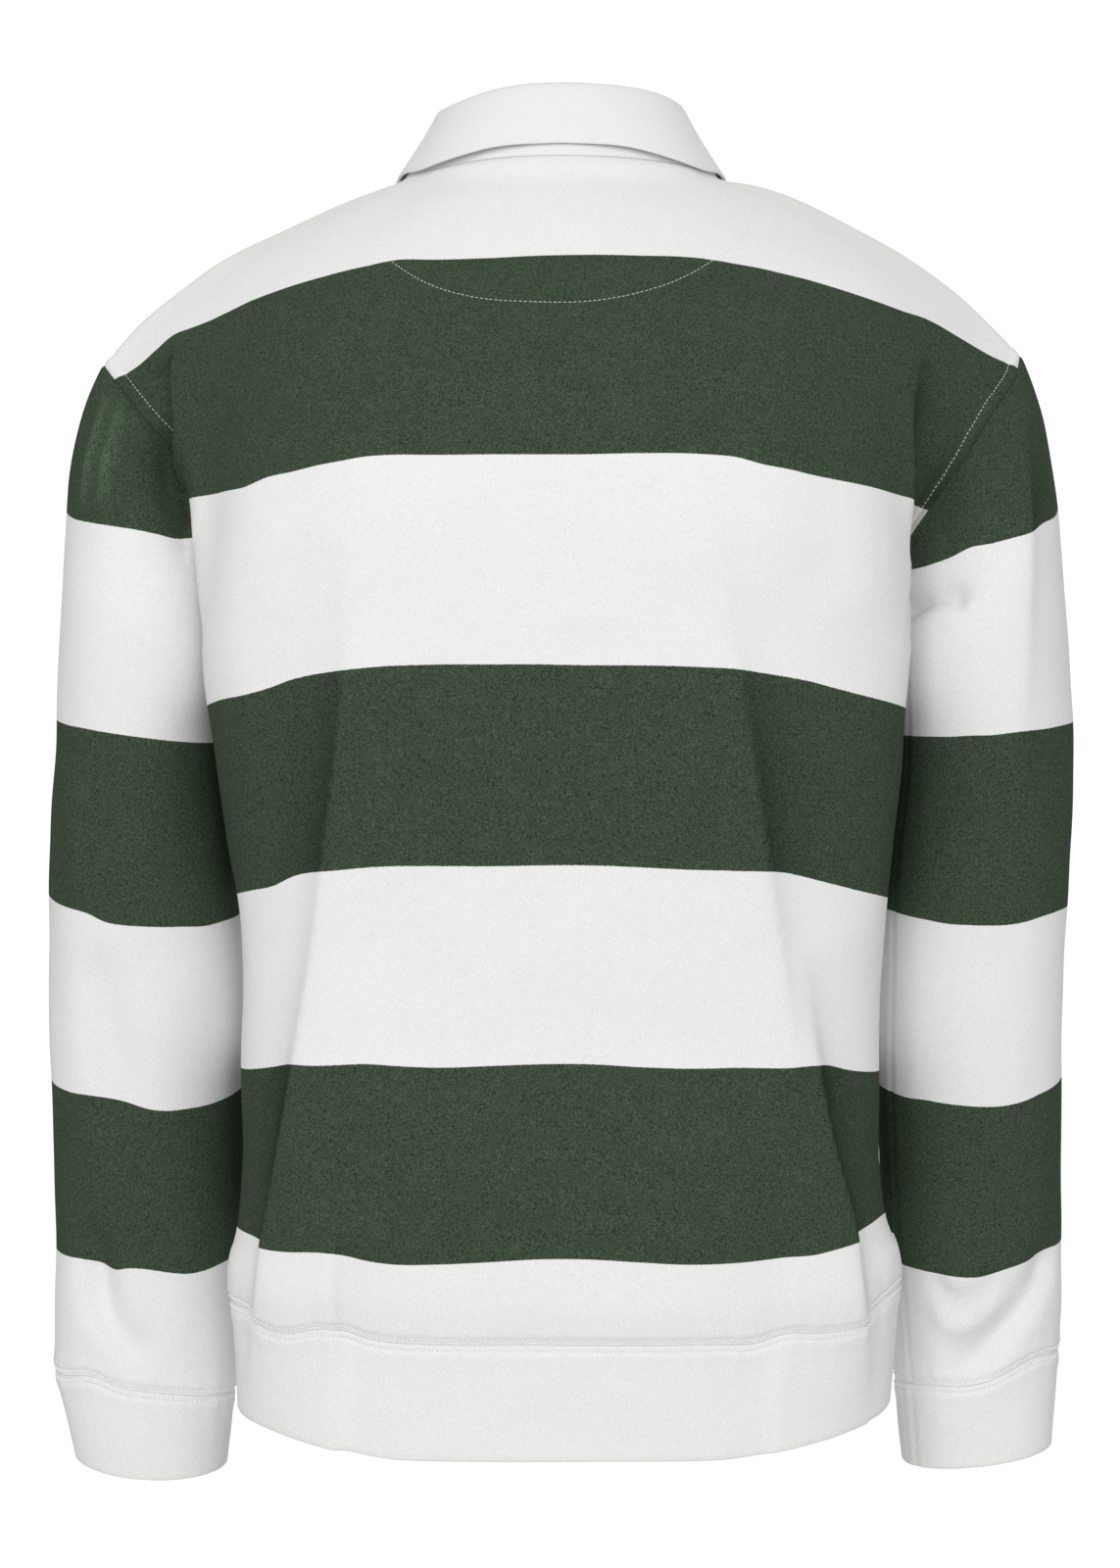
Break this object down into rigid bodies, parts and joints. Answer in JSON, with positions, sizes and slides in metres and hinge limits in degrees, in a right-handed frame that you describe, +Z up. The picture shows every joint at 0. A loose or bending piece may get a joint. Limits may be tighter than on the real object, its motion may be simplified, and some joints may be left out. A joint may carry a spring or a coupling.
{
  "type": "rugby shirt",
  "caption": "Long-sleeved rugby shirt with wide hoops, twill collar, buttoned neck placket, banded cuffs and hem band, filled out and hollow as if worn.",
  "frame": {"origin": "middle of the neck's base at shoulder level, where the wearer carries the shirt", "axes": "+Z up, the wearer faces -Y, the wearer's left arm is at +X"},
  "size_m": [0.5481, 0.2866, 0.7383],
  "materials": {
    "body_cloth": "brushed fleece, dark green and white hoops",
    "sleeve_cloth": "brushed fleece, dark green and white hoops",
    "band_cloth": "double white fleece, two-needle seam at its top",
    "twill": "white cotton twill",
    "button": "off-white, semi-gloss"
  },
  "bodies": {
    "root": {"back": "body_cloth", "front": "body_cloth", "sleeve_left": "sleeve_cloth", "sleeve_right": "sleeve_cloth", "cuff_left": "band_cloth", "cuff_right": "band_cloth", "hem_band": "band_cloth", "collar_stand": "twill", "collar_fall": "twill", "placket_over": "twill", "placket_under": "twill", "button_1": "button", "button_2": "button", "button_3": "button"}
  },
  "joints": []
}
